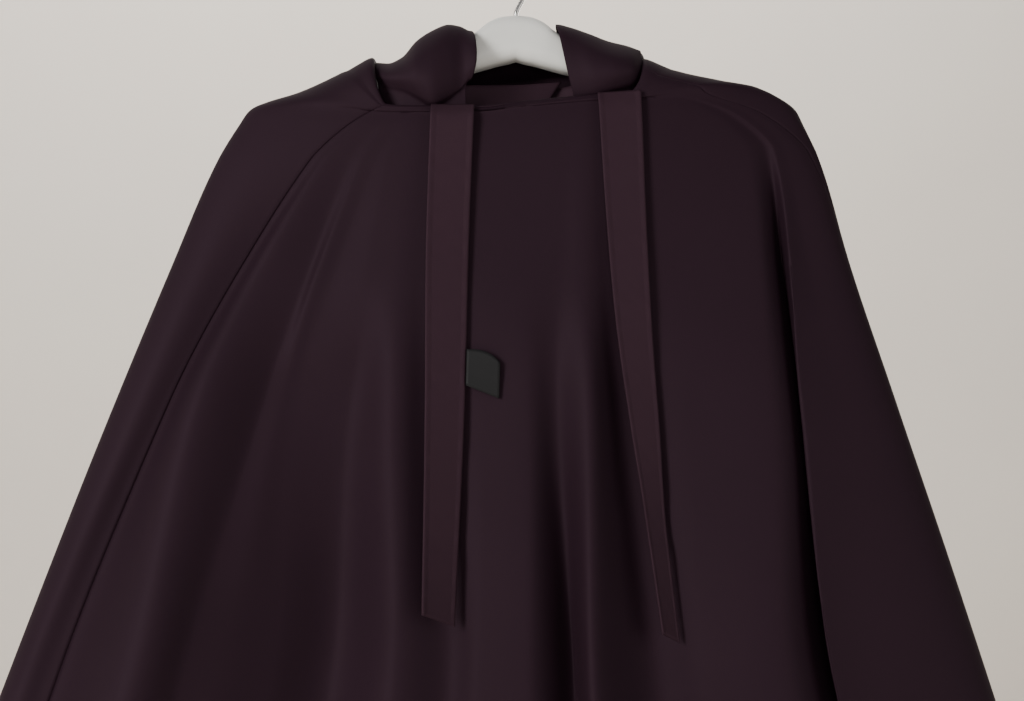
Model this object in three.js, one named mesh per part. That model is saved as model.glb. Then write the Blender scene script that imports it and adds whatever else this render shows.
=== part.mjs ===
// A khimar veil hung on a broad coat hanger. Millimetres, Z up, the front faces -Y.
// The origin is the inside crown of the hanger's hook. Left is -X and right is +X.
import * as THREE from 'three';

// Cloth
const WALL = 1.6;
const TIE_WALL = 1.8;
const LABEL_WALL = 1.0;
const SEAM_GAP = 0.6;
const LAY_GAP = 0.35;

// Cape
const SHOULDER_Z = -139;
const CAPE_LENGTH = 1000;
const HEM_HALF_WIDTH = 590;
const HEM_DEPTH = 150;
const FOLD_DEPTH = 34;
const LINE_LIFT = 10;

// Neck opening. It reaches a little further out on the left, and its edge rises above the
// stretched line between the shoulders.
const NECK_LEFT = 113;
const NECK_RIGHT = 100;
const NECK_FRONT = 33;
const NECK_BACK = 30;
const NECK_LEFT_RISE = 43;
const NECK_RIGHT_RISE = 42;
const NECK_BACK_RISE = 31;
const FRONT_ROLL = 4;
const FACING_DEEP = 12;
const FACING_IN = 4.5;
const FACING_SIDE = 0.5;
const SHOULDER_ROUND = 4;

// Hood
const HOOD_RISE = 70;
const HOOD_CLEAR = 0.5;
const HOOD_SWELL = 13;
const HOOD_BELLY = 7;
const HOOD_OVER = 6.6;
const POUCH_DROP = 215;
const POUCH_OUT = 42;
const POUCH_CLEAR = 3.8;

// Ties and label
const TIE_WIDTH = 33;
const LEFT_TIE_LENGTH = 384;
const RIGHT_TIE_LENGTH = 408;
const LABEL_WIDTH = 25;
const LABEL_HEIGHT = 27;
const LABEL_SLANT = 10;
const LABEL_DOWN = 185;
const BAND_WIDTH = 24;

// Hanger and hook
const HANGER_HALF = 204;
const HANGER_TOP = -62;
const HANGER_DROP = 78;
const HANGER_THICK = 35;
const HANGER_HALF_DEPTH = 14;
const HOOK_WIRE = 1.9;
const HOOK_RADIUS = 21;
const HOOK_STEM = 4;

// Sections of the cape. down is a share of CAPE_LENGTH, left and right of HEM_HALF_WIDTH, front and
// back of HEM_DEPTH. blunt is how flat the front and back run out to the sides, the less the
// flatter, and rise says how much of the folds shows.
const SECTIONS = [
  { down: 0, left: 0.352, right: 0.37, front: 0.24, back: 0.213, blunt: 0.75, rise: 0 },
  { down: 0.027, left: 0.383, right: 0.394, front: 0.27, back: 0.24, blunt: 0.72, rise: 0.08 },
  { down: 0.12, left: 0.453, right: 0.441, front: 0.32, back: 0.3, blunt: 0.62, rise: 0.8 },
  { down: 0.223, left: 0.526, right: 0.5, front: 0.38, back: 0.367, blunt: 0.55, rise: 1 },
  { down: 0.428, left: 0.66, right: 0.613, front: 0.5, back: 0.5, blunt: 0.5, rise: 1 },
  { down: 1, left: 1.04, right: 0.91, front: 0.85, back: 0.9, blunt: 0.5, rise: 1.3 },
];

// How far the stretched line between the shoulders lies above SHOULDER_Z. across is a share of the
// shoulder's half width and lift of LINE_LIFT.
const LINE = [
  { across: -1, lift: 0.24 },
  { across: -0.79, lift: 0.1 },
  { across: -0.62, lift: 0 },
  { across: -0.45, lift: -0.25 },
  { across: -0.145, lift: -0.3 },
  { across: 0.02, lift: 0.05 },
  { across: 0.16, lift: 0.36 },
  { across: 0.29, lift: 0.6 },
  { across: 0.44, lift: 0.82 },
  { across: 0.655, lift: 1.12 },
  { across: 0.8, lift: 1.18 },
  { across: 0.9, lift: 1.08 },
  { across: 1, lift: 0.32 },
];

// The shoulder cloth from the neck edge to the shoulder line. along is the share of that way, and
// left and right are how far the cloth lies above a straight line, in shares of SHOULDER_ROUND.
const LID = [
  { along: 0.25, left: -0.6, right: -0.7 },
  { along: 0.6, left: -0.6, right: 0.1 },
  { along: 0.86, left: 0.1, right: 0.9 },
];

// Crests and valleys of the cape, from the left side over the front and round the back. line, high,
// mid and low are their places on the way round, in percent, from the shoulder line down. up,
// ride and sweep are how far they stand out above, at the middle and low down, as shares of
// FOLD_DEPTH.
const FOLDS = [
  { name: 'left side', line: 0, high: 0, mid: 0, low: 0, up: 0, ride: 0.1, sweep: 0 },
  { name: 'left ridge', line: 6.3, high: 6.5, mid: 5.8, low: 4.6, up: 0.2, ride: 0.3, sweep: 0.4 },
  { name: 'left seam', line: 16.2, high: 13.6, mid: 8.9, low: 7.7, up: -0.45, ride: -0.3, sweep: -0.35 },
  { name: 'bright ridge', line: 17, high: 14.6, mid: 11.1, low: 12.1, up: 0.1, ride: 0.75, sweep: 1.45 },
  { name: 'first valley', line: 17.7, high: 16, mid: 14.5, low: 14.2, up: -0.3, ride: -0.35, sweep: 0.5 },
  { name: 'narrow ridge', line: 18.2, high: 16.8, mid: 15.2, low: 15.7, up: -0.1, ride: -0.4, sweep: -0.05 },
  { name: 'second valley', line: 18.6, high: 17.5, mid: 16.1, low: 17.2, up: -0.15, ride: -0.5, sweep: -0.65 },
  { name: 'broad valley', line: 19, high: 18.2, mid: 18.3, low: 19.1, up: 0, ride: -0.62, sweep: -1.3 },
  { name: 'wide ridge', line: 19.8, high: 19.1, mid: 20.2, low: 21.3, up: 0.02, ride: 0, sweep: 0 },
  { name: 'beside the tie', line: 20.9, high: 20.6, mid: 21.8, low: 22.9, up: -0.03, ride: -0.25, sweep: -0.4 },
  { name: 'under the tie', line: 22.6, high: 22.7, mid: 23.9, low: 23.9, up: 0, ride: -0.1, sweep: 0 },
  { name: 'centre ridge', line: 24.8, high: 24.9, mid: 25.5, low: 25.4, up: 0, ride: 0, sweep: 0.1 },
  { name: 'tucked valley', line: 27.9, high: 27.5, mid: 26.6, low: 26.9, up: 0, ride: -0.2, sweep: -0.7 },
  { name: 'crest', line: 28.9, high: 28.4, mid: 27.95, low: 27.5, up: 0.05, ride: 0.3, sweep: 0.4 },
  { name: 'after the crest', line: 30.8, high: 30.4, mid: 29.4, low: 29.7, up: -0.05, ride: -0.3, sweep: -0.6 },
  { name: 'mid right', line: 32.6, high: 33.3, mid: 32.2, low: 31.5, up: 0, ride: 0, sweep: 0 },
  { name: 'before the gap', line: 33.7, high: 38.3, mid: 36.2, low: 34.3, up: 0.15, ride: 0.25, sweep: 0.4 },
  { name: 'gap', line: 34.5, high: 40.1, mid: 38.3, low: 36.6, up: -0.9, ride: -0.65, sweep: -0.8 },
  { name: 'crisp edge', line: 35.2, high: 40.9, mid: 37.9, low: 36.15, up: 0.2, ride: 0.3, sweep: 0.45 },
  { name: 'right slope', line: 35.7, high: 42, mid: 40.9, low: 38.2, up: 0, ride: 0.15, sweep: 0.3 },
  { name: 'right side', line: 36.2, high: 43.2, mid: 47, low: 46.5, up: 0.1, ride: 0.2, sweep: 0.4 },
  { name: 'right seam', line: 36.7, high: 44.4, mid: 53, low: 53.5, up: -0.1, ride: -0.1, sweep: -0.15 },
  { name: 'right end', line: 50, high: 50, mid: 56.5, low: 57.5, up: 0.2, ride: 0.2, sweep: 0.4 },
  { name: 'right back seam', line: 60, high: 60, mid: 61.5, low: 62, up: -0.3, ride: -0.3, sweep: -0.5 },
  { name: 'back ridge 1', line: 65, high: 65, mid: 65.5, low: 66, up: 0.3, ride: 0.3, sweep: 0.6 },
  { name: 'back valley 1', line: 70, high: 70, mid: 69.5, low: 69.5, up: -0.3, ride: -0.3, sweep: -0.7 },
  { name: 'back ridge 2', line: 75, high: 75, mid: 74.5, low: 74, up: 0.3, ride: 0.3, sweep: 0.6 },
  { name: 'back valley 2', line: 79.5, high: 79.5, mid: 79.5, low: 79, up: -0.35, ride: -0.35, sweep: -0.6 },
  { name: 'back ridge 3', line: 84, high: 84, mid: 84, low: 83.5, up: 0.25, ride: 0.25, sweep: 0.6 },
  { name: 'back valley 3', line: 88, high: 88, mid: 88, low: 88, up: -0.3, ride: -0.3, sweep: -0.5 },
  { name: 'left back seam', line: 92, high: 92, mid: 92, low: 92, up: -0.1, ride: -0.1, sweep: 0.2 },
  { name: 'left end', line: 96, high: 96, mid: 96, low: 96, up: 0.15, ride: 0.15, sweep: -0.2 },
];
const PLACE_DOWNS = [0, 0.027, 0.223, 0.428, 1];
const STAND_DOWNS = [0, 0.12, 0.223, 0.428, 1];
const COLUMNS_PER_FOLD = 3;
const CUTS = ['left seam', 'right seam', 'right back seam', 'left back seam'];

// Rows of the fall, as shares of CAPE_LENGTH.
const FALL_ROWS = [0.012, 0.036, 0.08, 0.135, 0.2, 0.27, 0.345, 0.428, 0.53, 0.67, 0.83, 1];

// Strips of the hood from left to right, over the arms. foot is where a strip starts behind the
// neckline and top where it passes over the arm, in shares of NECK_LEFT. crest is the height of its
// top and fold of the fold over which it hangs, in shares of HOOD_RISE. swell is a share of
// HOOD_SWELL, front of the way to the neckline's facing and belly of HOOD_BELLY. The middle strips
// start behind the hanger.
const STRIPS = [
  { name: 'left tuck', foot: -0.935, top: -0.935, crest: 0.56, fold: 0.306, swell: 0.1, front: 0.66, belly: -0.2 },
  { name: 'left notch', foot: -0.86, top: -0.87, crest: 0.55, fold: 0.24, swell: 0.3, front: 0.8, belly: -0.3 },
  { name: 'left rise', foot: -0.74, top: -0.78, crest: 0.617, fold: 0.186, swell: 0.6, front: 0.95, belly: 0 },
  { name: 'left slope', foot: -0.64, top: -0.68, crest: 0.803, fold: 0.103, swell: 0.9, front: 1, belly: 0 },
  { name: 'left dome', foot: -0.55, top: -0.59, crest: 0.904, fold: 0.06, swell: 1, front: 1, belly: 0 },
  { name: 'left crest', foot: -0.45, top: -0.47, crest: 0.983, fold: 0.12, swell: 0.7, front: 1, belly: 0.2 },
  { name: 'left fall', foot: -0.39, top: -0.4, crest: 0.966, fold: 0.2, swell: 0.4, front: 1, belly: 0.6 },
  { name: 'left rim', foot: -0.335, top: -0.325, crest: 0.909, fold: 0.3, swell: 0.6, front: 1, belly: 1 },
  { name: 'nape left', foot: -0.11, top: -0.11, crest: 0.93, fold: 0.1, swell: 0, front: 1, belly: 0 },
  { name: 'nape right', foot: 0.1, top: 0.1, crest: 0.94, fold: 0.1, swell: 0, front: 1, belly: 0 },
  { name: 'right tip', foot: 0.42, top: 0.275, crest: 0.987, fold: 0.13, swell: 0.4, front: 1, belly: 0.1 },
  { name: 'right fold', foot: 0.49, top: 0.37, crest: 0.954, fold: 0.13, swell: 0.6, front: 1, belly: 0.1 },
  { name: 'right slope', foot: 0.57, top: 0.5, crest: 0.881, fold: 0.15, swell: 0.9, front: 1, belly: 0 },
  { name: 'right wing', foot: 0.67, top: 0.64, crest: 0.791, fold: 0.2, swell: 1, front: 1, belly: 0 },
  { name: 'right fall', foot: 0.77, top: 0.75, crest: 0.745, fold: 0.24, swell: 0.8, front: 0.95, belly: 0.3 },
  { name: 'right tuck', foot: 0.835, top: 0.825, crest: 0.7, fold: 0.306, swell: 0.3, front: 0.72, belly: 0.15 },
];
const ROWS_PER_SPAN = 2;
const NAPE_SPAN = 6;
const HOOD_FRONT = NECK_FRONT - FACING_IN - WALL - HOOD_CLEAR;

// The ties, with stations from the neckline down. centre is across in shares of NECK_LEFT and wide
// is a share of TIE_WIDTH: where it is below one the tie is turned, by the share called turn. slant
// is how much lower its end's right corner is, as a share of TIE_WIDTH.
const LEFT_TIE = {
  length: LEFT_TIE_LENGTH,
  turn: -0.6,
  slant: 0.33,
  stations: [
    { down: 0, centre: -0.425, wide: 1 },
    { down: 0.3, centre: -0.456, wide: 0.96 },
    { down: 0.6, centre: -0.469, wide: 0.88 },
    { down: 1, centre: -0.504, wide: 0.7 },
  ],
};
const RIGHT_TIE = {
  length: RIGHT_TIE_LENGTH,
  turn: -0.3,
  slant: 0.24,
  stations: [
    { down: 0, centre: 0.695, wide: 1 },
    { down: 0.2, centre: 0.726, wide: 0.93 },
    { down: 0.4, centre: 0.77, wide: 0.84 },
    { down: 0.62, centre: 0.85, wide: 0.66 },
    { down: 0.8, centre: 0.92, wide: 0.45 },
    { down: 1, centre: 1.009, wide: 0.4 },
  ],
};
const TIE_ACROSS = [-0.5, -0.17, 0.17, 0.5];
const TIE_LIFT = WALL / 2 + TIE_WALL / 2 + LAY_GAP;
const TIE_CLEAR = TIE_LIFT + 1.6;
const TIE_REACH = 8;

// Where the two inner bands run, from left to right. across is a share of NECK_LEFT, depth of the
// way to the inside of the hood's front and rise of BAND_WIDTH. slant cuts the right end.
const LEFT_BAND = {
  slant: 0.67,
  way: [
    { across: -0.425, depth: 1, rise: 0.75 },
    { across: -0.3, depth: 0.57, rise: 0.87 },
    { across: 0, depth: 0, rise: 0.98 },
    { across: 0.32, depth: -0.1, rise: 1.08 },
  ],
};
const RIGHT_BAND = {
  slant: 0,
  way: [
    { across: 0.124, depth: -0.18, rise: 0.83 },
    { across: 0.336, depth: -0.21, rise: 0.93 },
    { across: 0.48, depth: 0.41, rise: 1.03 },
    { across: 0.56, depth: 1, rise: 1.125 },
  ],
};
const BAND_FRONT = HOOD_FRONT - WALL - LAY_GAP;

// Stations of one hanger arm. out is a share of HANGER_HALF, drop of HANGER_DROP, thick of
// HANGER_THICK and deep of HANGER_HALF_DEPTH.
const ARM = [
  { out: 0, drop: 0, thick: 1, deep: 1 },
  { out: 0.05, drop: 0.012, thick: 1.05, deep: 1 },
  { out: 0.1, drop: 0.06, thick: 1.015, deep: 1 },
  { out: 0.145, drop: 0.15, thick: 0.886, deep: 1 },
  { out: 0.19, drop: 0.235, thick: 0.765, deep: 1 },
  { out: 0.29, drop: 0.375, thick: 0.557, deep: 1.02 },
  { out: 0.45, drop: 0.52, thick: 0.51, deep: 1.04 },
  { out: 0.65, drop: 0.76, thick: 0.47, deep: 1.02 },
  { out: 0.82, drop: 0.9, thick: 0.403, deep: 0.95 },
  { out: 0.93, drop: 0.995, thick: 0.322, deep: 0.85 },
  { out: 0.98, drop: 1.06, thick: 0.2, deep: 0.7 },
  { out: 1, drop: 1.12, thick: 0.08, deep: 0.4 },
];
const HANGER_SIDES = 12;

// Looks of the parts.
const CAPE_CLOTH = { color: 0x3a2a33, roughness: 0.7, metalness: 0 };
const TIE_CLOTH = { color: 0x46323d, roughness: 0.7, metalness: 0 };
const LABEL_CLOTH = { color: 0x2b2b2c, roughness: 0.5, metalness: 0 };
const HANGER_WHITE = { color: 0xdcdcd8, roughness: 0.4, metalness: 0 };
const HOOK_BRIGHT = { color: 0xc4c4c2, roughness: 0.25, metalness: 1 };

const TURN = 2 * Math.PI;
const FOLD_COUNT = FOLDS.length;

function mix(a, b, share) {
  return a + (b - a) * share;
}

function clamp(value, low, high) {
  return Math.min(high, Math.max(low, value));
}

// A smooth curve through the given heights that never swings past a crest or a valley.
function smoothCurve(xs, ys) {
  const last = xs.length - 1;
  const slopes = xs.slice(1).map((x, i) => (ys[i + 1] - ys[i]) / (x - xs[i]));
  const tangents = xs.map((x, i) => {
    if (i === 0) return slopes[0];
    if (i === last) return slopes[last - 1];
    const [a, b] = [slopes[i - 1], slopes[i]];
    return a * b <= 0 ? 0 : (2 * a * b) / (a + b);
  });
  return (x) => {
    let i = 0;
    while (i < last - 1 && x > xs[i + 1]) i += 1;
    const span = xs[i + 1] - xs[i];
    const t = clamp((x - xs[i]) / span, 0, 1);
    const [t2, t3] = [t * t, t * t * t];
    return ys[i] * (2 * t3 - 3 * t2 + 1) + tangents[i] * span * (t3 - 2 * t2 + t)
      + ys[i + 1] * (3 * t2 - 2 * t3) + tangents[i + 1] * span * (t3 - t2);
  };
}

function curveOf(rows, at, column) {
  return smoothCurve(rows.map((row) => row[at]), rows.map((row) => row[column]));
}

const [leftShare, rightShare, frontShare, backShare, bluntAt, riseShare] = [
  'left', 'right', 'front', 'back', 'blunt', 'rise'].map((column) => curveOf(SECTIONS, 'down', column));
const liftShare = curveOf(LINE, 'across', 'lift');

// Where one fold runs round the cape, and how far it stands out, at any height.
function foldLine(fold) {
  const round = smoothCurve(PLACE_DOWNS, [fold.line, fold.high, fold.mid, fold.low, fold.low]);
  const out = smoothCurve(STAND_DOWNS, [fold.up, fold.up, fold.ride, fold.sweep, fold.sweep]);
  return (down) => ({ round: round(down), out: out(down) * riseShare(down) * FOLD_DEPTH });
}

const foldLines = FOLDS.map(foldLine);

// The closed section of the cape at one height, as a function of the fold number. Its depths run
// from the shoulder line's height down.
function section(down) {
  const at = foldLines.map((line) => line(down));
  const numbers = [...at.keys(), FOLD_COUNT];
  const round = smoothCurve(numbers, [...at.map((f) => f.round), at[0].round + 100]);
  const out = smoothCurve(numbers, [...at.map((f) => f.out), at[0].out]);
  return (number) => {
    const angle = (round(number) / 100) * TURN;
    const [across, along] = [Math.cos(angle), Math.sin(angle)];
    const half = HEM_HALF_WIDTH * (across > 0 ? leftShare(down) : rightShare(down));
    const deep = HEM_DEPTH * (along > 0 ? frontShare(down) : backShare(down));
    const flat = Math.abs(along) ** bluntAt(down);
    const y = -Math.sign(along) * flat * deep - out(number) * along;
    return new THREE.Vector3(-across * half, y, -down * CAPE_LENGTH);
  };
}

function shoulderHalf(x) {
  return HEM_HALF_WIDTH * (x < 0 ? leftShare(0) : rightShare(0));
}

// How much the stretched line between the shoulders lies above or below its height at the middle.
function lineLift(x) {
  return LINE_LIFT * liftShare(clamp(x / shoulderHalf(x), -1, 1));
}

function shoulderLine() {
  const round = section(0);
  return (number) => {
    const p = round(number);
    p.z += lineLift(p.x);
    return p;
  };
}

// The edge of the neck opening above one point of the shoulder line.
function neckEdge(p) {
  const [neck, sideRise] = p.x < 0 ? [NECK_LEFT, NECK_LEFT_RISE] : [NECK_RIGHT, NECK_RIGHT_RISE];
  const reach = Math.abs(p.x) / neck;
  const x = Math.sign(p.x) * neck * reach / (1 + reach ** 6) ** (1 / 6);
  const turn = clamp((Math.abs(p.x) - neck) / (shoulderHalf(p.x) - neck), 0, 1) * Math.PI / 2;
  const front = p.y < 0;
  const y = (front ? -NECK_FRONT : NECK_BACK) * Math.cos(turn) ** 0.8;
  const low = p.z + (front ? FRONT_ROLL : NECK_BACK_RISE);
  return { turn, edge: new THREE.Vector3(x, y, mix(low, sideRise, Math.sin(turn))) };
}

// One column of the cape's top: the turned-in facing, the edge and the shoulder cloth.
function topColumn(p) {
  const { turn, edge } = neckEdge(p);
  const front = p.y < 0 ? 1 : -1;
  const inward = new THREE.Vector3(-Math.sign(p.x) * Math.sin(turn), front * Math.cos(turn), 0);
  const within = FACING_IN * mix(1, FACING_SIDE, Math.sin(turn));
  const facing = edge.clone().addScaledVector(inward, within);
  const bend = edge.clone().addScaledVector(inward, within * 0.75);
  facing.z -= mix(FACING_DEEP, within, Math.sin(turn));
  bend.z -= within * 0.35;
  const bulge = inward.clone().multiplyScalar(-WALL / 2);
  const lid = LID.map(({ along, left, right }) => {
    const point = edge.clone().lerp(p, along).add(bulge);
    point.z += (p.x < 0 ? left : right) * SHOULDER_ROUND * Math.sin(turn);
    return point;
  });
  return [facing, bend, edge, ...lid, p];
}

// The whole cape as rows of points, each row once round.
function capeGrid() {
  const columns = [...Array(FOLD_COUNT * COLUMNS_PER_FOLD).keys()].map((c) => c / COLUMNS_PER_FOLD);
  const line = shoulderLine();
  const tops = columns.map((number) => topColumn(line(number)));
  const topRows = tops[0].map((point, r) => tops.map((column) => column[r]));
  const fallRows = FALL_ROWS.map((down) => {
    const round = section(down);
    const fade = Math.max(0, 1 - down / 0.18) ** 2;
    return columns.map((number, c) => {
      const p = round(number);
      p.z += fade * tops[c].at(-1).z;
      return p;
    });
  });
  return [...topRows, ...fallRows];
}

// The outermost depth of the cape between two places across, at one height, in front or behind.
function capeDepth(fromX, toX, z, side) {
  const round = section(clamp(-z / CAPE_LENGTH, 0, 1));
  let depth = 0;
  for (let i = 0; i < FOLD_COUNT * 12; i += 1) {
    const p = round(i / 12);
    if (p.x >= fromX && p.x <= toX && p.y * side > 0) depth = Math.max(depth, p.y * side);
  }
  return depth * side;
}

// Directions that stand square to a sheet of cloth at each point of its grid.
function sheetNormals(grid, present, closed) {
  const rows = grid.length;
  const columns = grid[0].length;
  const normals = grid.map((row) => row.map(() => new THREE.Vector3()));
  for (let r = 0; r < rows - 1; r += 1) {
    for (let c = 0; c < columns - (closed ? 0 : 1); c += 1) {
      if (!present(r, c)) continue;
      const next = (c + 1) % columns;
      const diagonal = grid[r + 1][next].clone().sub(grid[r][c]);
      const other = grid[r][next].clone().sub(grid[r + 1][c]);
      const square = diagonal.cross(other).normalize();
      [[r, c], [r, next], [r + 1, c], [r + 1, next]].forEach(([i, j]) => normals[i][j].add(square));
    }
  }
  normals.forEach((row) => row.forEach((n) => n.normalize()));
  return normals;
}

// A closed body of cloth: two layers on either side of the grid and a rim along every free edge.
function clothBody(grid, normals, wall, present) {
  const rows = grid.length;
  const columns = grid[0].length;
  const positions = [];
  const faces = [];
  const numbers = new Map();
  function corner(r, c, side) {
    const key = `${r} ${c} ${side}`;
    if (!numbers.has(key)) {
      numbers.set(key, positions.length / 3);
      const p = grid[r][c].clone().addScaledVector(normals[r][c], side * wall / 2);
      positions.push(p.x, p.y, p.z);
    }
    return numbers.get(key);
  }
  const inside = (r, c) => r >= 0 && c >= 0 && r < rows - 1 && c < columns - 1 && present(r, c);
  for (let r = 0; r < rows - 1; r += 1) {
    for (let c = 0; c < columns - 1; c += 1) {
      if (!inside(r, c)) continue;
      const ring = [[r, c], [r + 1, c], [r + 1, c + 1], [r, c + 1]];
      const beside = [[r, c - 1], [r + 1, c], [r, c + 1], [r - 1, c]];
      const [a, d, e, b] = ring.map(([i, j]) => corner(i, j, 1));
      const [a2, d2, e2, b2] = ring.map(([i, j]) => corner(i, j, -1));
      const short = grid[r][c].distanceTo(grid[r + 1][c + 1]) < grid[r][c + 1].distanceTo(grid[r + 1][c]);
      if (short) faces.push(a, d, e, a, e, b, a2, e2, d2, a2, b2, e2);
      else faces.push(a, d, b, b, d, e, a2, b2, d2, b2, e2, d2);
      ring.forEach(([i, j], k) => {
        if (inside(...beside[k])) return;
        const [i2, j2] = ring[(k + 1) % 4];
        const [from, to] = [corner(i, j, 1), corner(i2, j2, 1)];
        const [fromBack, toBack] = [corner(i, j, -1), corner(i2, j2, -1)];
        faces.push(to, from, fromBack, to, fromBack, toBack);
      });
    }
  }
  return bodyOf(positions, faces);
}

function bodyOf(positions, faces) {
  const geometry = new THREE.BufferGeometry();
  geometry.setAttribute('position', new THREE.Float32BufferAttribute(positions, 3));
  geometry.setIndex(faces);
  return geometry;
}

function named(name, geometry, { color, roughness, metalness }) {
  const mesh = new THREE.Mesh(geometry, new THREE.MeshStandardMaterial({ color, roughness, metalness }));
  mesh.name = name;
  return mesh;
}

const everywhere = () => true;

// A plain sheet whose grid needs no holes.
function sheetBody(grid, wall) {
  return clothBody(grid, sheetNormals(grid, everywhere, false), wall, everywhere);
}

// Moves one edge of a panel a little inwards, square to its seam, which leaves the seam's gap.
function insetSeam(points, normals, column, inner) {
  const last = points.length - 1;
  return points.map((row, r) => {
    const [above, below] = [points[Math.max(0, r - 1)], points[Math.min(last, r + 1)]];
    const along = below[column].clone().sub(above[column]);
    const side = normals[r][column].clone().cross(along).setLength(SEAM_GAP / 2);
    const inwards = row[inner].clone().sub(row[column]);
    return row[column].clone().addScaledVector(side, Math.sign(side.dot(inwards)));
  });
}

// One panel of the cape, between two seams.
function capePanel(name, grid, normals, fromSeam, toSeam) {
  const count = grid[0].length;
  const from = FOLDS.findIndex((f) => f.name === fromSeam) * COLUMNS_PER_FOLD;
  const to = FOLDS.findIndex((f) => f.name === toSeam) * COLUMNS_PER_FOLD;
  const length = ((to - from + count) % count) + 1;
  const take = (row) => [...Array(length).keys()].map((c) => row[(from + c) % count]);
  const points = grid.map(take);
  const squares = normals.map(take);
  const first = insetSeam(points, squares, 0, 1);
  const end = insetSeam(points, squares, length - 1, length - 2);
  const inset = points.map((row, r) => [first[r], ...row.slice(1, -1), end[r]]);
  return named(name, clothBody(inset, squares, WALL, everywhere), CAPE_CLOTH);
}

function capePanels() {
  const grid = capeGrid();
  const normals = sheetNormals(grid, everywhere, true);
  const [leftSeam, rightSeam, rightBack, leftBack] = CUTS;
  return [
    capePanel('front_panel', grid, normals, leftSeam, rightSeam),
    capePanel('right_side_panel', grid, normals, rightSeam, rightBack),
    capePanel('back_panel', grid, normals, rightBack, leftBack),
    capePanel('left_side_panel', grid, normals, leftBack, leftSeam),
  ];
}

// The path of one strip of the hood: up behind the neckline, over the arm, and down and up again
// as the two layers of the pouch behind the cape.
function stripPath(strip) {
  const foot = strip.foot * NECK_LEFT;
  const top = strip.top * NECK_LEFT;
  const line = lineLift(foot);
  const crest = strip.crest * HOOD_RISE;
  const crease = strip.fold * HOOD_RISE;
  const swell = strip.swell * HOOD_SWELL;
  const front = -HOOD_FRONT * strip.front;
  const belly = strip.belly * HOOD_BELLY;
  const over = NECK_BACK_RISE + lineLift(top) + HOOD_OVER;
  const share = Math.max(0, 1 - (strip.top / 0.95) ** 2) ** 0.8;
  const bottom = over - HOOD_OVER - POUCH_DROP * share;
  const out = NECK_BACK * 1.27 + POUCH_OUT * share;
  const lie = (z) => capeDepth(top - NECK_LEFT / 9, top + NECK_LEFT / 9, z, 1) + POUCH_CLEAR;
  const at = (x, y, z) => new THREE.Vector3(x, y, z);
  return [
    at(foot, front, line - FACING_DEEP * 0.67),
    at(mix(foot, top, 0.1), front, line + 1),
    at(mix(foot, top, 0.25) + belly * 0.6, front - swell * 0.4, crease + 3),
    at(mix(foot, top, 0.5) + belly, front - swell, mix(crease + 3, crest, 0.28)),
    at(mix(foot, top, 0.8) + belly, front * 0.85 - swell * 0.8, mix(crease, crest, 0.68)),
    at(top, -HANGER_HALF_DEPTH * 0.3, crest),
    at(top, HANGER_HALF_DEPTH * 1.25, mix(crest, over, 0.18)),
    at(top, NECK_BACK * 1.17, over),
    at(top, mix(NECK_BACK * 1.27, out, 0.65), mix(over, bottom, 0.16)),
    at(top * 0.97, out, mix(over, bottom, 0.55)),
    at(top * 0.93, out + 2, mix(over, bottom, 0.87)),
    at(top * 0.92, mix(lie(bottom), out, 0.45) + 1, bottom),
    at(top * 0.93, lie(mix(over, bottom, 0.87)) + 1, mix(over, bottom, 0.87)),
    at(top * 0.97, lie(mix(over, bottom, 0.5)), mix(over, bottom, 0.5)),
    at(top, NECK_BACK * 1.13, over - FACING_DEEP),
  ];
}

function hood() {
  const paths = STRIPS.map((strip) => {
    const points = stripPath(strip);
    const curve = new THREE.CatmullRomCurve3(points, false, 'centripetal');
    return curve.getPoints((points.length - 1) * ROWS_PER_SPAN);
  });
  const grid = paths[0].map((point, r) => paths.map((path) => path[r]));
  const rim = STRIPS.findIndex((s) => s.name === 'left rim');
  const tip = STRIPS.findIndex((s) => s.name === 'right tip');
  const present = (r, c) => r >= NAPE_SPAN * ROWS_PER_SPAN || c < rim || c >= tip;
  return named('hood', clothBody(grid, sheetNormals(grid, present, false), WALL, present), CAPE_CLOTH);
}

// One row across a tie, at a share of its length below the neckline. Where the tie is seen narrower
// than it is, one edge stands out from the cape: the right one where turn is above nothing.
function tieRow(tie, down) {
  const centre = curveOf(tie.stations, 'down', 'centre')(down) * NECK_LEFT;
  const width = curveOf(tie.stations, 'down', 'wide')(down) * TIE_WIDTH;
  const stand = Math.sqrt(Math.max(0, TIE_WIDTH ** 2 - width ** 2)) * tie.turn;
  const z = lineLift(tie.stations[0].centre * NECK_LEFT) + FRONT_ROLL - down * tie.length;
  const reach = width / 2 + TIE_REACH;
  const lie = capeDepth(centre - reach, centre + reach, z - TIE_REACH, -1) - TIE_CLEAR;
  const slant = tie.slant * TIE_WIDTH * Math.max(0, down * 5 - 4);
  return TIE_ACROSS.map((a) => {
    const y = lie - a * stand - Math.abs(stand) / 2;
    return new THREE.Vector3(centre + a * width, y, z - slant * a);
  });
}

// A flat tie, sewn in front of the neckline, that lies on the front.
function tieStrip(name, tie, cloth) {
  const across = TIE_ACROSS.map((a) => tie.stations[0].centre * NECK_LEFT + a * TIE_WIDTH);
  const above = FRONT_ROLL + WALL / 2;
  const top = across.map((x) => new THREE.Vector3(x, -NECK_FRONT - TIE_CLEAR, lineLift(x) + above));
  const hang = [...Array(13).keys()].map((i) => tieRow(tie, 0.02 + 0.98 * (i / 12)));
  return named(name, sheetBody([top, ...hang], TIE_WALL), cloth);
}

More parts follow.
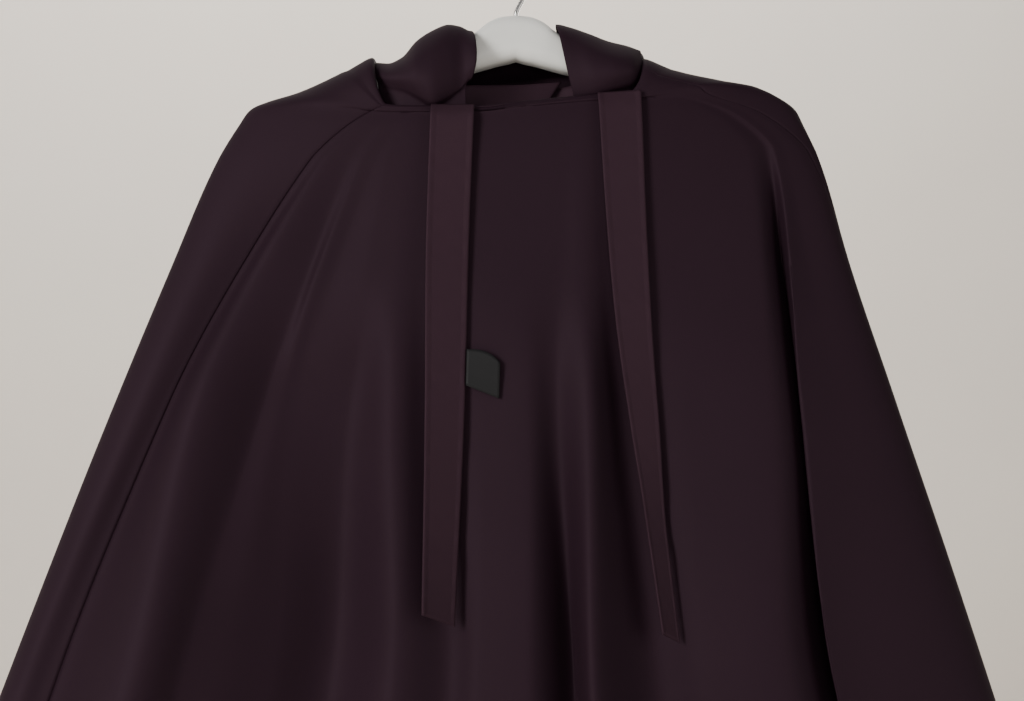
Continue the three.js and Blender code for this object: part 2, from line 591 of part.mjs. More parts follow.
// The bare label at the left tie's right edge, slanting down to the right with its corner folded.
function label() {
  const edges = [0, 0.5, 1].map((share) => {
    const edge = tieRow(LEFT_TIE, (LABEL_DOWN + share * LABEL_HEIGHT) / LEFT_TIE.length).at(-1);
    const lie = capeDepth(edge.x, edge.x + LABEL_WIDTH + TIE_REACH, edge.z - LABEL_SLANT, -1);
    edge.y = Math.min(edge.y, lie - TIE_CLEAR);
    return edge;
  });
  const grid = edges.map((edge, i) => [0, 0.5, 1].map((a) => new THREE.Vector3(
    edge.x + LAY_GAP + LABEL_WALL / 10 + a * LABEL_WIDTH,
    edge.y + LABEL_WALL / 2 - LABEL_HEIGHT * 0.075 * a * (1 - i / 2),
    edge.z - LABEL_SLANT * mix(a ** 3, a, i / 2),
  )));
  return named('label', sheetBody(grid, LABEL_WALL), LABEL_CLOTH);
}

// A flat band inside the neck opening.
function innerBand(name, band) {
  const points = band.way.map(({ across, depth, rise }) => new THREE.Vector3(
    across * NECK_LEFT, -depth * BAND_FRONT, rise * BAND_WIDTH));
  const way = new THREE.CatmullRomCurve3(points).getPoints(8);
  const grid = [0, 0.5, 1].map((down) => way.map((p, i) => new THREE.Vector3(
    p.x - band.slant * BAND_WIDTH * down * (i / 8) ** 4,
    p.y,
    p.z - down * BAND_WIDTH,
  )));
  return named(name, sheetBody(grid, WALL), TIE_CLOTH);
}

// The broad hanger, lofted through upright oval sections from the left end to the right end.
function hanger() {
  const [dropAt, thickAt, deepAt] = ['drop', 'thick', 'deep'].map((column) => curveOf(ARM, 'out', column));
  const outs = ARM.map((s) => s.out);
  const stations = [...outs.slice(1).reverse().map((o) => -o), ...outs];
  const positions = [];
  const faces = [];
  stations.forEach((out) => {
    const share = Math.abs(out);
    const half = thickAt(share) * HANGER_THICK / 2;
    const deep = deepAt(share) * HANGER_HALF_DEPTH;
    const middle = -dropAt(share) * HANGER_DROP - half;
    for (let k = 0; k < HANGER_SIDES; k += 1) {
      const angle = ((k + 0.5) / HANGER_SIDES) * TURN;
      const [c, s] = [Math.cos(angle), Math.sin(angle)];
      positions.push(out * HANGER_HALF, deep * Math.sign(c) * Math.abs(c) ** 0.6,
        middle + half * Math.sign(s) * Math.abs(s) ** 0.6);
    }
  });
  for (let i = 0; i < stations.length - 1; i += 1) {
    for (let k = 0; k < HANGER_SIDES; k += 1) {
      const [a, b] = [i * HANGER_SIDES + k, i * HANGER_SIDES + (k + 1) % HANGER_SIDES];
      const [d, e] = [a + HANGER_SIDES, b + HANGER_SIDES];
      faces.push(a, b, d, b, e, d);
    }
  }
  const last = (stations.length - 1) * HANGER_SIDES;
  for (let k = 1; k < HANGER_SIDES - 1; k += 1) {
    faces.push(0, k + 1, k, last, last + k, last + k + 1);
  }
  return named('hanger', bodyOf(positions, faces), HANGER_WHITE);
}

// The wire hook: a leaning stem, then round the right side and over the crown to its free end.
function hangerHook() {
  const centre = HOOK_WIRE - HOOK_RADIUS - HANGER_TOP;
  const points = [new THREE.Vector3(0, 0, LAY_GAP), new THREE.Vector3(HOOK_STEM * 0.15, 0, HOOK_STEM)];
  for (let degrees = -50; degrees <= 200; degrees += 25) {
    const angle = degrees * Math.PI / 180;
    points.push(new THREE.Vector3(HOOK_RADIUS * Math.cos(angle), 0, centre + HOOK_RADIUS * Math.sin(angle)));
  }
  const path = new THREE.CatmullRomCurve3(points, false, 'centripetal');
  const wire = new THREE.Shape().absarc(0, 0, HOOK_WIRE, 0, TURN, false);
  const settings = { steps: 44, curveSegments: 5, bevelEnabled: false, extrudePath: path };
  return named('hanger_hook', new THREE.ExtrudeGeometry(wire, settings), HOOK_BRIGHT);
}

// Everything sewn together, measured from the height of the shoulders.
function veil() {
  const group = new THREE.Group();
  group.position.z = SHOULDER_Z;
  group.add(
    ...capePanels(),
    hood(),
    innerBand('left_inner_band', LEFT_BAND),
    innerBand('right_inner_band', RIGHT_BAND),
    tieStrip('left_tie', LEFT_TIE, TIE_CLOTH),
    tieStrip('right_tie', RIGHT_TIE, TIE_CLOTH),
    label(),
  );
  return group;
}

// The hanger and its hook, measured from the hanger's top.
function hangerWithHook() {
  const group = new THREE.Group();
  group.position.z = HANGER_TOP;
  group.add(hanger(), hangerHook());
  return group;
}

function khimarOnHanger() {
  const group = new THREE.Group();
  group.add(veil(), hangerWithHook());
  return group;
}

export default khimarOnHanger();
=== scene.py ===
# A khimar veil hung on a broad coat hanger: cloth, ties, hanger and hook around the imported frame.
# Metres, Z up, the front faces -Y, the origin is the inside crown of the hanger's hook.
import math

import bpy
import numpy as np
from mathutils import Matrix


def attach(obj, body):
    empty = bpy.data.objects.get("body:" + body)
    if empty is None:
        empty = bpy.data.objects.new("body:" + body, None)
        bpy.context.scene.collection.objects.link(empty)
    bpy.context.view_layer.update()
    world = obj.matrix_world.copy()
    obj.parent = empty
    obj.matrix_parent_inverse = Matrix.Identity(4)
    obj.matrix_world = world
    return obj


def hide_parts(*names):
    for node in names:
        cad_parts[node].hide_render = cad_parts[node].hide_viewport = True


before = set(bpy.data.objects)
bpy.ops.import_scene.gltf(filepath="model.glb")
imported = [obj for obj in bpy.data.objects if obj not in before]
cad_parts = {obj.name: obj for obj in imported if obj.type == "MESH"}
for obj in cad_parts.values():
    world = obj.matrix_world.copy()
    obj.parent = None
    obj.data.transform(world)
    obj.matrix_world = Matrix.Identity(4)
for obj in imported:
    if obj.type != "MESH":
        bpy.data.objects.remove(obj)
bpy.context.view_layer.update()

MM = 0.001

# Cloth, in millimetres as all sizes of the cape
WALL = 1.5
TIE_WALL = 1.6
SHOULDER_Z = -139.0
CAPE_LENGTH = 1000.0
HEM_HALF_WIDTH = 590.0
HEM_DEPTH = 150.0
FOLD_DEPTH = 34.0
LINE_LIFT = 10.0

NECK_LEFT = 113.0
NECK_RIGHT = 100.0
NECK_FRONT = 33.0
NECK_BACK = 30.0
NECK_LEFT_RISE = 43.0
NECK_RIGHT_RISE = 42.0
NECK_BACK_RISE = 31.0
FRONT_ROLL = 4.0
FACING_DEEP = 12.0
FACING_IN = 4.5
FACING_SIDE = 0.5
SHOULDER_ROUND = 4.0
LID_OUT = 0.8

# How sharply the neck's edge turns at its ends, how round it is seen from above, and where the
# facing bends inside it, in and down in shares of its depth inward
NECK_TURN = 6
NECK_OVAL = 0.8
BEND_IN = 0.75
BEND_DOWN = 0.35

HOOD_RISE = 70.0
HOOD_FRONT = 26.4
HOOD_SWELL = 13.0
HOOD_OVER = 6.6
POUCH_DROP = 215.0
POUCH_OUT = 42.0
HOOD_BELLY = 7.0

TIE_WIDTH = 33.0
TIE_COLUMNS = 25
TIE_ROWS = 26
TIE_STEPS = 6
TIE_START = 0.02
LAY_GAP = 0.35
TIE_CLEAR = WALL / 2 + TIE_WALL / 2 + LAY_GAP + 1.6
LABEL_WALL = 0.9
LABEL_POINTS = 13
LABEL_WIDTH = 25.0
LABEL_HEIGHT = 27.0
LABEL_SLANT = 10.0
LABEL_DOWN = 185.0
BAND_WIDTH = 24.0

HANGER_HALF = 204.0
HANGER_TOP = -62.0
HANGER_DROP = 78.0
HANGER_THICK = 35.0
HANGER_HALF_DEPTH = 14.0
HANGER_SIDES = 40
HANGER_RINGS = 90
HANGER_CROWDING = 1.25
HANGER_OVAL = 0.6
HOOK_WIRE = 1.9
HOOK_RADIUS = 21.0
HOOK_SIDES = 16
HOOK_STEPS = 10
HOOK_ANGLES = range(-50, 201, 25)

# Sections of the cape as shares: down of CAPE_LENGTH, left and right of HEM_HALF_WIDTH, front and
# back of HEM_DEPTH. blunt is how flat the front and back run out to the sides, the less the
# flatter, and rise says how much of the folds shows.
SECTION_COLUMNS = ("down", "left", "right", "front", "back", "blunt", "rise")
SECTIONS = np.array(
    [
        (0, 0.352, 0.37, 0.24, 0.213, 0.75, 0),
        (0.027, 0.383, 0.394, 0.27, 0.24, 0.72, 0.08),
        (0.12, 0.453, 0.441, 0.32, 0.3, 0.62, 0.8),
        (0.223, 0.526, 0.5, 0.38, 0.367, 0.55, 1),
        (0.428, 0.66, 0.613, 0.5, 0.5, 0.5, 1),
        (1, 1.04, 0.91, 0.85, 0.9, 0.5, 1.3),
    ]
)

# How far the stretched line between the shoulders lies above SHOULDER_Z: across in shares of the
# shoulder's half width, lift of LINE_LIFT.
LINE = np.array(
    [
        # across, lift
        (-1, 0.24),
        (-0.79, 0.1),
        (-0.62, 0),
        (-0.45, -0.25),
        (-0.145, -0.3),
        (0.02, 0.05),
        (0.16, 0.36),
        (0.29, 0.6),
        (0.44, 0.82),
        (0.655, 1.12),
        (0.8, 1.18),
        (0.9, 1.08),
        (1, 0.32),
    ]
)

# The shoulder cloth between the neck edge and the shoulder line: how far along, and how far it
# lies above a straight line on the left and on the right, in shares of SHOULDER_ROUND.
LID = [(0.25, -0.6, -0.7), (0.6, -0.6, 0.1), (0.86, 0.1, 0.9)]

# Crests and valleys from the left side over the front and round the back. Their place at the
# line, the shoulder, the middle and the low section is in percent of the way round, and how far
# they stand out above, at the middle and low down is in shares of FOLD_DEPTH.
PLACE_DOWNS = (0, 0.027, 0.223, 0.428, 1)
STAND_DOWNS = (0, 0.12, 0.223, 0.428, 1)
FOLDS = [
    # name, line, shoulder, middle, low, upper, ride, sweep
    ("left side", 0, 0, 0, 0, 0, 0.1, 0),
    ("left ridge", 6.3, 6.5, 5.8, 4.6, 0.2, 0.3, 0.4),
    ("left seam", 16.2, 13.6, 8.9, 7.7, -0.45, -0.3, -0.35),
    ("bright ridge", 17.0, 14.6, 11.1, 12.1, 0.1, 0.75, 1.45),
    ("first valley", 17.7, 16.0, 14.5, 14.2, -0.3, -0.35, 0.5),
    ("narrow ridge", 18.2, 16.8, 15.2, 15.7, -0.1, -0.4, -0.05),
    ("second valley", 18.6, 17.5, 16.1, 17.2, -0.15, -0.5, -0.65),
    ("broad valley", 19.0, 18.2, 18.3, 19.1, 0, -0.62, -1.3),
    ("wide ridge", 19.8, 19.1, 20.2, 21.3, 0.02, 0, 0),
    ("beside the tie", 20.9, 20.6, 21.8, 22.9, -0.03, -0.25, -0.4),
    ("under the tie", 22.6, 22.7, 23.9, 23.9, 0, -0.1, 0),
    ("centre ridge", 24.8, 24.9, 25.5, 25.4, 0, 0, 0.1),
    ("tucked valley", 27.9, 27.5, 26.6, 26.9, 0, -0.2, -0.7),
    ("crest", 28.9, 28.4, 27.95, 27.5, 0.05, 0.3, 0.4),
    ("after the crest", 30.8, 30.4, 29.4, 29.7, -0.05, -0.3, -0.6),
    ("mid right", 32.6, 33.3, 32.2, 31.5, 0, 0, 0),
    ("before the gap", 33.7, 38.3, 36.2, 34.3, 0.15, 0.25, 0.4),
    ("gap", 34.5, 40.1, 38.3, 36.6, -0.9, -0.65, -0.8),
    ("crisp edge", 35.2, 40.9, 37.9, 36.15, 0.2, 0.3, 0.45),
    ("right slope", 35.7, 42, 40.9, 38.2, 0, 0.15, 0.3),
    ("right side", 36.2, 43.2, 47, 46.5, 0.1, 0.2, 0.4),
    ("right seam", 36.7, 44.4, 53, 53.5, -0.1, -0.1, -0.15),
    ("right end", 50, 50, 56.5, 57.5, 0.2, 0.2, 0.4),
    ("right back seam", 60, 60, 61.5, 62, -0.3, -0.3, -0.5),
    ("back ridge 1", 65, 65, 65.5, 66, 0.3, 0.3, 0.6),
    ("back valley 1", 70, 70, 69.5, 69.5, -0.3, -0.3, -0.7),
    ("back ridge 2", 75, 75, 74.5, 74, 0.3, 0.3, 0.6),
    ("back valley 2", 79.5, 79.5, 79.5, 79, -0.35, -0.35, -0.6),
    ("back ridge 3", 84, 84, 84, 83.5, 0.25, 0.25, 0.6),
    ("back valley 3", 88, 88, 88, 88, -0.3, -0.3, -0.5),
    ("left back seam", 92, 92, 92, 92, -0.1, -0.1, 0.2),
    ("left end", 96, 96, 96, 96, 0.15, 0.15, -0.2),
]
FOLD_NAMES = [row[0] for row in FOLDS]
COLUMNS_PER_FOLD = 14
FALL_ROWS = 120
TOP_STEPS = 6

# How the rows of the cape follow each other, in shares of CAPE_LENGTH: the first ones below the
# shoulder line, where the line's lift has faded, and how the others spread out downwards
FIRST_FALLS = (0.012, 0.036, 0.06)
LIFT_FADES = 0.18
FALL_SPREAD = 1.15

# The panels: node, first and last seam, flat width and length in metres, flat area
PANELS = [
    ("front_panel", "left seam", "right seam", (0.93, 1.01), 0.92),
    ("right_side_panel", "right seam", "right back seam", (0.14, 1.02), 0.12),
    ("back_panel", "right back seam", "left back seam", (0.75, 1.01), 0.70),
    ("left_side_panel", "left back seam", "left seam", (0.24, 1.03), 0.20),
]

# How deep the edges of the panels dip at a seam, and how finely the outermost depth is sought
SEAM_DENT = 0.9
DEPTH_STEPS = 12

# The cloth's faint unevenness as waves: across, down and height
WAVES = [(31, 83, 0.35), (-47, 61, 0.4), (19, -140, 0.22), (-23, -37, 0.16), (71, 29, 0.2)]

# The ties' stitched hems, as a share of the width and a step, and the puckers between them, as
# a height and two wave lengths
HEM = 0.12
HEM_EDGE = 0.03
HEM_STEP = 0.4
PUCKER = 0.35
PUCKER_WAVES = (3.1, 17)

# Strips of the hood from left to right: foot and top in shares of NECK_LEFT, crest and crease of
# HOOD_RISE, swell of HOOD_SWELL, front of HOOD_FRONT and belly of HOOD_BELLY. The cloth hangs over
# at the crease.
STRIPS = [
    # name, foot, top, crest, crease, swell, front, belly
    ("left tuck", -0.935, -0.955, 0.56, 0.306, 0.1, 0.66, -0.2),
    ("left notch", -0.86, -0.87, 0.55, 0.24, 0.3, 0.8, -0.3),
    ("left rise", -0.74, -0.78, 0.617, 0.186, 0.6, 0.95, 0),
    ("left slope", -0.64, -0.68, 0.803, 0.103, 0.9, 1, 0),
    ("left dome", -0.55, -0.59, 0.904, 0.03, 1, 1, 0),
    ("left crest", -0.45, -0.47, 0.983, 0.12, 0.7, 1, 0.2),
    ("left fall", -0.39, -0.4, 0.966, 0.2, 0.4, 1, 0.6),
    ("left rim", -0.335, -0.325, 0.909, 0.3, 0.6, 1, 1),
    ("nape left", -0.11, -0.11, 0.93, 0.1, 0, 1, 0),
    ("nape right", 0.1, 0.1, 0.94, 0.1, 0, 1, 0),
    ("right tip", 0.42, 0.275, 0.987, 0.12, 0.4, 1, 0.1),
    ("right fold", 0.49, 0.37, 0.954, 0.12, 0.6, 1, 0.1),
    ("right slope", 0.57, 0.5, 0.881, 0.13, 0.9, 1, 0),
    ("right wing", 0.67, 0.64, 0.791, 0.186, 1, 1, 0),
    ("right fall", 0.77, 0.75, 0.745, 0.24, 0.8, 0.95, 0.3),
    ("right tuck", 0.835, 0.85, 0.7, 0.306, 0.3, 0.72, 0.15),
]
STRIP_NAMES = [row[0] for row in STRIPS]
COLUMNS_PER_STRIP = 10
ROWS_PER_SPAN = 8
NAPE_SPAN = 8

# The ties: stations of down, centre across in shares of NECK_LEFT and share of TIE_WIDTH seen
LEFT_TIE = dict(
    length=384.0,
    turn=-0.6,
    slant=11.0,
    stations=[(0, -0.425, 1), (0.3, -0.456, 0.96), (0.6, -0.469, 0.88), (1, -0.504, 0.7)],
)
RIGHT_TIE = dict(
    length=408.0,
    turn=-0.3,
    slant=8.0,
    stations=[
        (0, 0.695, 1),
        (0.2, 0.726, 0.93),
        (0.4, 0.77, 0.84),
        (0.62, 0.85, 0.66),
        (0.8, 0.92, 0.45),
        (1, 1.009, 0.4),
    ],
)

# The two inner bands from left to right: their path as across and depth, how far their upper edge
# lies above SHOULDER_Z at the start and the end, and how far the end slants
LEFT_BAND = dict(
    path=[(-48, -24.6), (-34, -14), (0, 0), (36, 2.5)], start_rise=18, end_rise=26, slant=16
)
RIGHT_BAND = dict(
    path=[(14, 4.4), (38, 5.2), (56, -10), (66, -24.7)], start_rise=20, end_rise=27, slant=0
)
BAND_STEPS = 12
BAND_POINTS = 9

# One hanger arm as shares: out of HANGER_HALF, drop of HANGER_DROP, thick and deep of its sizes
ARM = np.array(
    [
        (0, 0, 1, 1),
        (0.05, 0.012, 1.05, 1),
        (0.1, 0.06, 1.015, 1),
        (0.145, 0.15, 0.886, 1),
        (0.19, 0.235, 0.765, 1),
        (0.29, 0.375, 0.557, 1.02),
        (0.45, 0.52, 0.51, 1.04),
        (0.65, 0.76, 0.47, 1.02),
        (0.82, 0.9, 0.403, 0.95),
        (0.93, 0.995, 0.322, 0.85),
        (0.98, 1.06, 0.2, 0.7),
        (1, 1.12, 0.08, 0.4),
    ]
)

# Camera: it looks level at the middle of what the photograph shows
SCENE_WIDTH = 0.804
CAMERA_FAR = 1.15
CAMERA_X = -0.003
CAMERA_Z = -0.324
SENSOR = 36.0

# The pale wall stands this far behind the veil, in metres, so that the back can be seen too
WALL_BEHIND = 2.65
FLOOR_Z = -1.3
STAGE_SIZE = 16
STAGE_COLOUR = (0.79, 0.735, 0.67)

WEAVE_RELIEF = 0.25


def smooth(xs, ys, at):
    """A smooth curve through ys that never swings past a crest or a valley."""
    xs, ys, at = (np.asarray(v, float) for v in (xs, ys, at))
    step = np.diff(xs)
    slope = np.diff(ys) / step
    inner = slope[:-1] * slope[1:]
    total = slope[:-1] + slope[1:]
    tangent = np.concatenate(
        [
            slope[:1],
            np.where(inner > 0, 2 * inner / np.where(total == 0, 1, total), 0),
            slope[-1:],
        ]
    )
    i = np.clip(np.searchsorted(xs, at, side="right") - 1, 0, len(xs) - 2)
    t = np.clip((at - xs[i]) / step[i], 0, 1)
    return (
        ys[i] * (2 * t**3 - 3 * t**2 + 1)
        + tangent[i] * step[i] * (t**3 - 2 * t**2 + t)
        + ys[i + 1] * (3 * t**2 - 2 * t**3)
        + tangent[i + 1] * step[i] * (t**3 - t**2)
    )


def share_at(name, down):
    return smooth(SECTIONS[:, 0], SECTIONS[:, SECTION_COLUMNS.index(name)], down)


def section(down, numbers):
    """Points of the cape's closed section at one height, at the given fold numbers."""
    at, out = [], []
    rise = share_at("rise", down) * FOLD_DEPTH
    for _, line, shoulder, middle, low, upper, ride, sweep in FOLDS:
        at.append(smooth(PLACE_DOWNS, [line, shoulder, middle, low, low], down))
        out.append(smooth(STAND_DOWNS, [upper, upper, ride, sweep, sweep], down) * rise)
    knots = np.arange(len(FOLDS) + 1)
    angle = smooth(knots, at + [at[0] + 100], numbers) / 100 * 2 * math.pi
    stand = smooth(knots, out + [out[0]], numbers)
    across, along = np.cos(angle), np.sin(angle)
    half = HEM_HALF_WIDTH * np.where(across > 0, share_at("left", down), share_at("right", down))
    deep = HEM_DEPTH * np.where(along > 0, share_at("front", down), share_at("back", down))
    y = -np.sign(along) * np.abs(along) ** share_at("blunt", down) * deep - stand * along
    z = np.full_like(angle, SHOULDER_Z - down * CAPE_LENGTH)
    return np.stack([-across * half, y, z], axis=-1)


def line_half(x):
    return HEM_HALF_WIDTH * np.where(x < 0, share_at("left", 0), share_at("right", 0))


def line_lift(x):
    share = np.clip(x / line_half(x), -1, 1)
    return LINE_LIFT * smooth(LINE[:, 0], LINE[:, 1], share)


def mix(a, b, share):
    return a + (b - a) * share


def top_columns(line):
    """The facing, the neck edge and the shoulder cloth above each point of the shoulder line."""
    x, y, z = line.T
    half = line_half(x)
    neck = np.where(x < 0, NECK_LEFT, NECK_RIGHT)
    side_rise = np.where(x < 0, NECK_LEFT_RISE, NECK_RIGHT_RISE)
    reach = np.abs(x) / neck
    edge_x = np.sign(x) * neck * reach / (1 + reach**NECK_TURN) ** (1 / NECK_TURN)
    turn = np.clip((np.abs(x) - neck) / (half - neck), 0, 1) * math.pi / 2
    front = np.where(y < 0, 1, -1)
    edge_y = np.where(y < 0, -NECK_FRONT, NECK_BACK) * np.maximum(np.cos(turn), 0) ** NECK_OVAL
    low = z + np.where(y < 0, FRONT_ROLL, NECK_BACK_RISE)
    edge = np.stack([edge_x, edge_y, mix(low, SHOULDER_Z + side_rise, np.sin(turn))], axis=-1)
    inward = np.stack(
        [-np.sign(x) * np.sin(turn), front * np.cos(turn), np.zeros_like(x)], axis=-1
    )
    up = np.array([0, 0, 1.0])
    within = FACING_IN * mix(1, FACING_SIDE, np.sin(turn))[:, None]
    deep = mix(FACING_DEEP, within, np.sin(turn)[:, None])
    facing = edge + inward * within - up * deep
    bend = edge + inward * within * BEND_IN - up * within * BEND_DOWN
    rows = [facing, bend, edge]
    for share, left, right in LID:
        lift = np.where(x < 0, left, right) * SHOULDER_ROUND * np.sin(turn)
        rows.append(mix(edge, line, share) - inward * LID_OUT + lift[:, None] * up)
    return rows + [line]


def through(p0, p1, p2, p3, f):
    """A centripetal curve from p1 to p2, for whole rows of points at once."""
    def gap(a, b):
        return np.maximum(np.linalg.norm(b - a, axis=-1, keepdims=True), 1e-6) ** 0.5

    t1 = gap(p0, p1)
    t2 = t1 + gap(p1, p2)
    t3 = t2 + gap(p2, p3)
    t = t1 + f * (t2 - t1)
    a1 = (t1 - t) / t1 * p0 + t / t1 * p1
    a2 = (t2 - t) / (t2 - t1) * p1 + (t - t1) / (t2 - t1) * p2
    a3 = (t3 - t) / (t3 - t2) * p2 + (t - t2) / (t3 - t2) * p3
    b1 = (t2 - t) / t2 * a1 + t / t2 * a2
    b2 = (t3 - t) / (t3 - t1) * a2 + (t - t1) / (t3 - t1) * a3
    return (t2 - t) / (t2 - t1) * b1 + (t - t1) / (t2 - t1) * b2


def curve_rows(rows, steps, last=None):
    """Rows of points, smoothed between the given ones. last ends it before the final rows."""
    rows = [np.asarray(r, float) for r in rows]
    ends = [2 * rows[0] - rows[1]] + rows + [2 * rows[-1] - rows[-2]]
    last = len(rows) - 1 if last is None else last
    made = [
        through(ends[i], ends[i + 1], ends[i + 2], ends[i + 3], k / steps)
        for i in range(last)
        for k in range(steps)
    ]
    return made + [rows[last]]


def cape_grid():
    """The whole cape as rows of points, in millimetres, from the facing down to the hem."""
    numbers = np.arange(len(FOLDS) * COLUMNS_PER_FOLD) / COLUMNS_PER_FOLD
    line = section(0, numbers)
    line[:, 2] += line_lift(line[:, 0])
    lift = line[:, 2] - SHOULDER_Z

    def fall(down):
        points = section(down, numbers)
        points[:, 2] += max(0, 1 - down / LIFT_FADES) ** 2 * lift
        return points

    controls = top_columns(line) + [fall(d) for d in FIRST_FALLS]
    last = len(controls) - 2
    rows = curve_rows(controls, TOP_STEPS, last)
    start = FIRST_FALLS[1]
    downs = start + (1 - start) * np.linspace(0, 1, FALL_ROWS + 1)[1:] ** FALL_SPREAD
    return np.array(rows + [fall(d) for d in downs])


def grid_normals(grid):
    """Directions square to the cape's cloth at each point, away from its hollow."""
    down = np.gradient(grid, axis=0)
    across = np.roll(grid, -1, axis=1) - np.roll(grid, 1, axis=1)
    normal = np.cross(down, across)
    return normal / np.maximum(np.linalg.norm(normal, axis=-1, keepdims=True), 1e-9)


def unevenness(points):
    """Faint waves of the cloth, by place."""
    total = np.zeros(points.shape[:-1])
    for across, down, height in WAVES:
        total += height * np.sin(points[..., 0] / across + points[..., 2] / down)
    return total


def cape_depth(from_x, to_x, z, side):
    """The outermost depth of the cape between two places across, at one height."""
    numbers = np.arange(len(FOLDS) * DEPTH_STEPS) / DEPTH_STEPS
    points = section(min(max((SHOULDER_Z - z) / CAPE_LENGTH, 0), 1), numbers)
    x, depth = points[:, 0], points[:, 1] * side
    found = depth[(x >= from_x) & (x <= to_x) & (depth > 0)]
    return side * (found.max() if len(found) else 0)


def add_mesh(name, points, faces, material, node):
    """A smooth-shaded piece in metres that rides on the one body and stands for a solid."""
    mesh = bpy.data.meshes.new(name)
    mesh.from_pydata((np.asarray(points) * MM).tolist(), [], faces)
    mesh.polygons.foreach_set("use_smooth", [True] * len(faces))
    mesh.materials.append(material)
    mesh.update()
    piece = bpy.data.objects.new(name, mesh)
    bpy.context.scene.collection.objects.link(piece)
    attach(piece, "root")
    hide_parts(node)
    return piece


def grid_faces(rows, columns, closed=False, present=None):
    faces = []
    for r in range(rows - 1):
        for c in range(columns if closed else columns - 1):
            if present is None or present(r, c):
                d = (c + 1) % columns
                here, below = r * columns, (r + 1) * columns
                faces.append((here + c, below + c, below + d, here + d))
    return faces


def cloth_piece(name, grid, wall, material, node, present=None):
    """A sheet of cloth of the given thickness, half of it on each side of the grid."""
    rows, columns = grid.shape[:2]
    faces = grid_faces(rows, columns, present=present)
    used = sorted({i for face in faces for i in face})
    renumber = {old: new for new, old in enumerate(used)}
    faces = [tuple(renumber[i] for i in face) for face in faces]
    piece = add_mesh(name, grid.reshape(-1, 3)[used], faces, material, node)
    solid = piece.modifiers.new("wall", "SOLIDIFY")
    solid.thickness = wall * MM
    solid.offset = 0
    return piece


def crepe(name, colour):
    """Matt crepe: a fine weave and a slight unevenness of colour."""
    material = bpy.data.materials.new(name)
    material.use_nodes = True
    nodes, links = material.node_tree.nodes, material.node_tree.links
    shader = nodes["Principled BSDF"]
    shader.inputs["Roughness"].default_value = 0.7
    shader.inputs["Specular IOR Level"].default_value = 0.15
    shader.inputs["Specular Tint"].default_value = (1, 0.76, 0.92, 1)
    where = nodes.new("ShaderNodeTexCoord")
    patches = nodes.new("ShaderNodeTexNoise")
    patches.inputs["Scale"].default_value = 9
    patches.inputs["Detail"].default_value = 3
    links.new(where.outputs["Object"], patches.inputs["Vector"])
    tone = nodes.new("ShaderNodeMix")
    tone.data_type = "RGBA"
    tone.inputs["A"].default_value = tuple(c * 0.9 for c in colour) + (1,)
    tone.inputs["B"].default_value = tuple(c * 1.12 for c in colour) + (1,)
    links.new(patches.outputs["Fac"], tone.inputs["Factor"])
    links.new(tone.outputs["Result"], shader.inputs["Base Color"])
    grain = nodes.new("ShaderNodeTexNoise")
    grain.inputs["Scale"].default_value = 1400
    grain.inputs["Detail"].default_value = 2
    links.new(where.outputs["Object"], grain.inputs["Vector"])
    weave = nodes.new("ShaderNodeBump")
    weave.inputs["Strength"].default_value = WEAVE_RELIEF
    weave.inputs["Distance"].default_value = 0.0004
    links.new(grain.outputs["Fac"], weave.inputs["Height"])
    links.new(weave.outputs["Normal"], shader.inputs["Normal"])
    return material


def plain(name, colour, roughness, metallic=0.0, bump=0.0, scale=300, specular=0.5):
    """A smooth surface with a faint unevenness."""
    material = bpy.data.materials.new(name)
    material.use_nodes = True
    nodes, links = material.node_tree.nodes, material.node_tree.links
    shader = nodes["Principled BSDF"]
    shader.inputs["Metallic"].default_value = metallic
    shader.inputs["Specular IOR Level"].default_value = specular
    where = nodes.new("ShaderNodeTexCoord")
    noise = nodes.new("ShaderNodeTexNoise")
    noise.inputs["Scale"].default_value = scale
    links.new(where.outputs["Object"], noise.inputs["Vector"])
    tone = nodes.new("ShaderNodeMix")
    tone.data_type = "RGBA"
    tone.inputs["A"].default_value = tuple(c * 0.97 for c in colour) + (1,)
    tone.inputs["B"].default_value = tuple(min(1, c * 1.03) for c in colour) + (1,)
    links.new(noise.outputs["Fac"], tone.inputs["Factor"])
    links.new(tone.outputs["Result"], shader.inputs["Base Color"])
    gloss = nodes.new("ShaderNodeMapRange")
    gloss.inputs["To Min"].default_value = roughness * 0.9
    gloss.inputs["To Max"].default_value = min(1, roughness * 1.1)
    links.new(noise.outputs["Fac"], gloss.inputs["Value"])
    links.new(gloss.outputs["Result"], shader.inputs["Roughness"])
    if bump:
        relief = nodes.new("ShaderNodeBump")
        relief.inputs["Strength"].default_value = bump
        relief.inputs["Distance"].default_value = 0.0003
        links.new(noise.outputs["Fac"], relief.inputs["Height"])
        links.new(relief.outputs["Normal"], shader.inputs["Normal"])
    return material


def build_cape(cloth):
    """The four panels, cut from one shell along its seams."""
    grid = cape_grid()
    square = grid_normals(grid)
    square[: TOP_STEPS * 3] = 0
    grid += square * unevenness(grid)[..., None]
    count = grid.shape[1]
    for node, start, end, flat, area in PANELS:
        first = FOLD_NAMES.index(start) * COLUMNS_PER_FOLD
        last = FOLD_NAMES.index(end) * COLUMNS_PER_FOLD
        columns = [(first + c) % count for c in range((last - first) % count + 1)]
        points = grid[:, columns]
        points[:, [0, -1]] -= square[:, columns][:, [0, -1]] * SEAM_DENT
        piece = cloth_piece(node + "_cloth", points, WALL, cloth, node)


